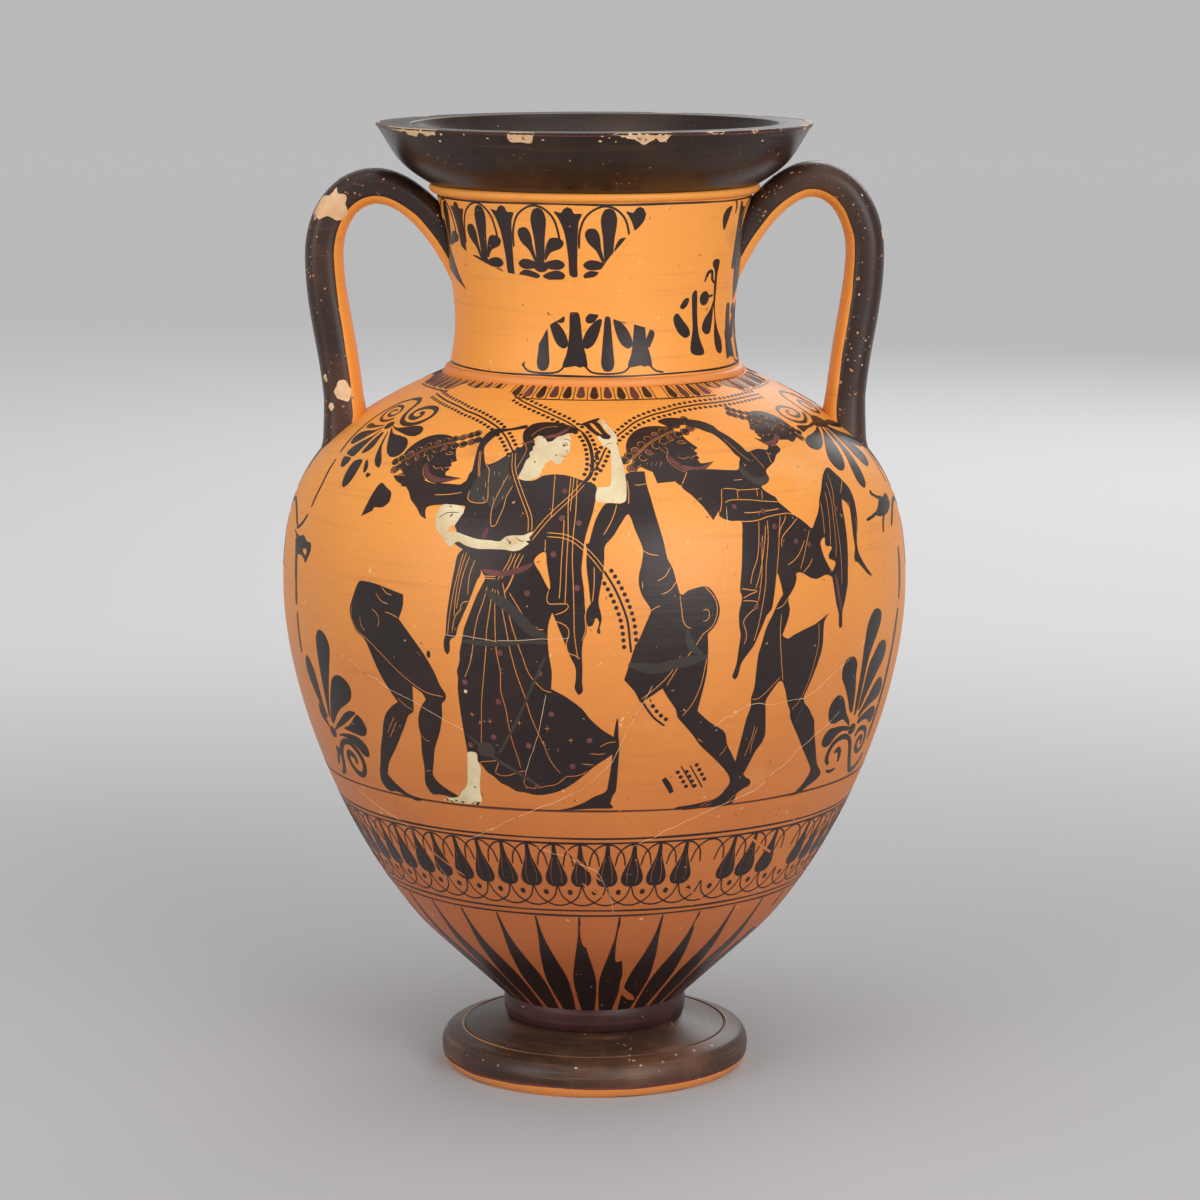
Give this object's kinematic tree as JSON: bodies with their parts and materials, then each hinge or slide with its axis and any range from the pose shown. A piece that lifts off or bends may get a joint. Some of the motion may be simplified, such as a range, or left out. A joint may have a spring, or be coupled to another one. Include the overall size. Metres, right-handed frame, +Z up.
{
  "type": "amphora",
  "caption": "Hollow two-handled clay storage jar with a disc foot, swelling body, offset neck and flaring mouth, painted with figures in black gloss",
  "frame": {"origin": "on the axis, at the middle of the foot's resting ring", "axes": "+Z up along the axis of the vessel, +X towards the right handle, -Y towards the front picture"},
  "size_m": [0.272, 0.272, 0.415],
  "materials": {
    "clay": "fired orange clay, satin, with thin painted decoration",
    "black_gloss": "glossy fired black slip, brownish where thin, worn at the edges",
    "added_red": "matt purple-red over black slip"
  },
  "bodies": {
    "root": {"foot": "black_gloss", "foot_fillet": "added_red", "belly": "clay", "shoulder": "clay", "neck_fillet": "added_red", "neck": "clay", "mouth_fillet": "clay", "mouth": "black_gloss", "left_handle": "black_gloss", "right_handle": "black_gloss"}
  },
  "joints": []
}
